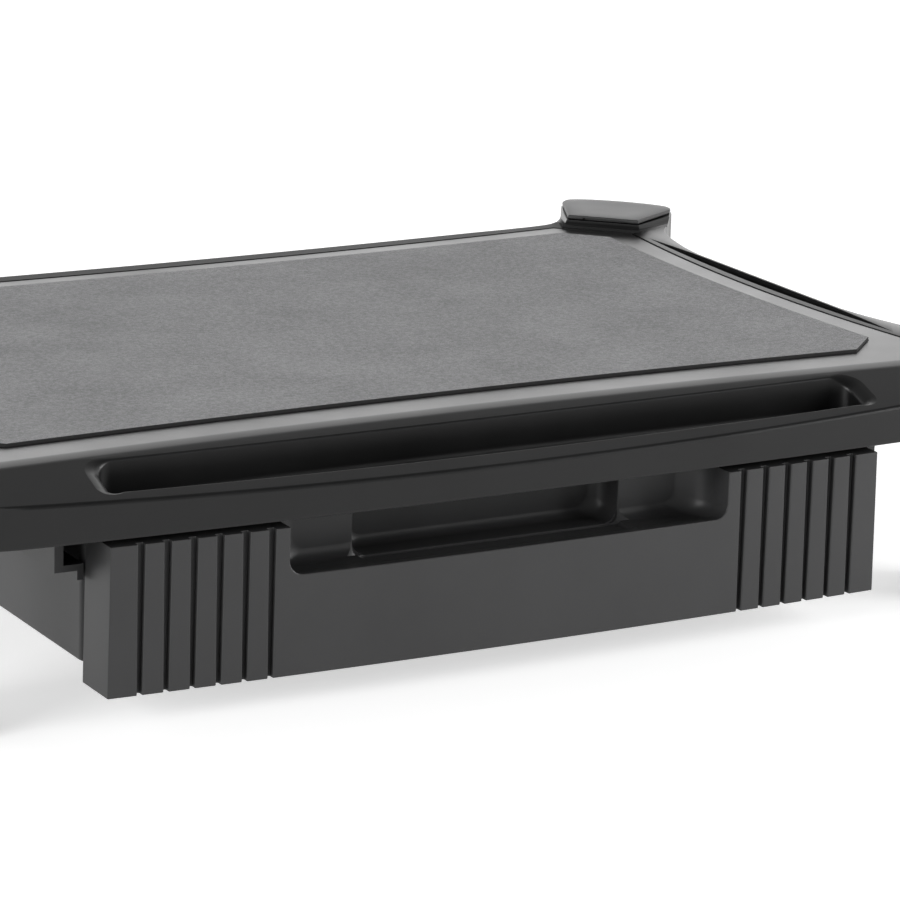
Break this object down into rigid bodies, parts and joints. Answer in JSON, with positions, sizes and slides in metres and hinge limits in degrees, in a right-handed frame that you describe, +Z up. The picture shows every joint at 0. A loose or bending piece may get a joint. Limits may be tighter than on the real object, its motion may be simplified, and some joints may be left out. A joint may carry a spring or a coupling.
{
  "type": "monitor riser stand",
  "caption": "Moulded monitor riser: raised deck with grip pad and pen tray, ribbed pull-out drawer on rails, telescopic corner legs.",
  "frame": {"origin": "bottom centre of the whole stand: on the desk, midway between its sides and midway between its front and rear ends", "axes": "+X to the right of a user facing the stand's front, +Y away from the user, +Z up; the drawer pulls out along -Y"},
  "size_m": [0.4892, 0.3226, 0.1006],
  "materials": {
    "deck_plastic": "fine-textured satin charcoal moulding",
    "pad_rubber": "matt, finely stippled grip surface",
    "drawer_plastic": "fine-textured satin charcoal moulding",
    "rail_plastic": "smooth charcoal moulding",
    "leg_plastic": "fine-textured satin charcoal moulding",
    "foot_rubber": "matt black rubber",
    "screw_steel": "zinc-plated"
  },
  "bodies": {
    "platform": {"deck_shell": "deck_plastic", "grip_pad": "pad_rubber", "tower_cap_left": "deck_plastic", "tower_cap_right": "deck_plastic", "drawer_rail_left": "rail_plastic", "drawer_rail_right": "rail_plastic", "rail_screw_1": "screw_steel", "rail_screw_2": "screw_steel", "rail_screw_3": "screw_steel", "rail_screw_4": "screw_steel", "rail_screw_5": "screw_steel", "rail_screw_6": "screw_steel", "leg_sleeve_front_left": "leg_plastic", "leg_sleeve_front_right": "leg_plastic", "leg_sleeve_rear_left": "leg_plastic", "leg_sleeve_rear_right": "leg_plastic", "sleeve_screw_1": "screw_steel", "sleeve_screw_2": "screw_steel", "sleeve_screw_3": "screw_steel", "sleeve_screw_4": "screw_steel", "sleeve_screw_5": "screw_steel", "sleeve_screw_6": "screw_steel", "sleeve_screw_7": "screw_steel", "sleeve_screw_8": "screw_steel"},
    "drawer": {"drawer_front": "drawer_plastic", "drawer_tub": "drawer_plastic", "front_screw_1": "screw_steel", "front_screw_2": "screw_steel", "front_screw_3": "screw_steel", "front_screw_4": "screw_steel"},
    "leg_front_left": {"leg_front_left": "leg_plastic", "foot_pad_front_left": "foot_rubber"},
    "leg_front_right": {"leg_front_right": "leg_plastic", "foot_pad_front_right": "foot_rubber"},
    "leg_rear_left": {"leg_rear_left": "leg_plastic", "foot_pad_rear_left": "foot_rubber"},
    "leg_rear_right": {"leg_rear_right": "leg_plastic", "foot_pad_rear_right": "foot_rubber"}
  },
  "joints": [
    {"name": "drawer_slide", "type": "slide", "parent": "platform", "child": "drawer", "axis": [0, -1, 0], "range_m": [0, 0.2]},
    {"name": "leg_front_left_slide", "type": "slide", "parent": "platform", "child": "leg_front_left", "axis": [0, 0, -1], "range_m": [0, 0.05]},
    {"name": "leg_front_right_slide", "type": "slide", "parent": "platform", "child": "leg_front_right", "axis": [0, 0, -1], "range_m": [0, 0.05]},
    {"name": "leg_rear_left_slide", "type": "slide", "parent": "platform", "child": "leg_rear_left", "axis": [0, 0, -1], "range_m": [0, 0.05]},
    {"name": "leg_rear_right_slide", "type": "slide", "parent": "platform", "child": "leg_rear_right", "axis": [0, 0, -1], "range_m": [0, 0.05]}
  ]
}
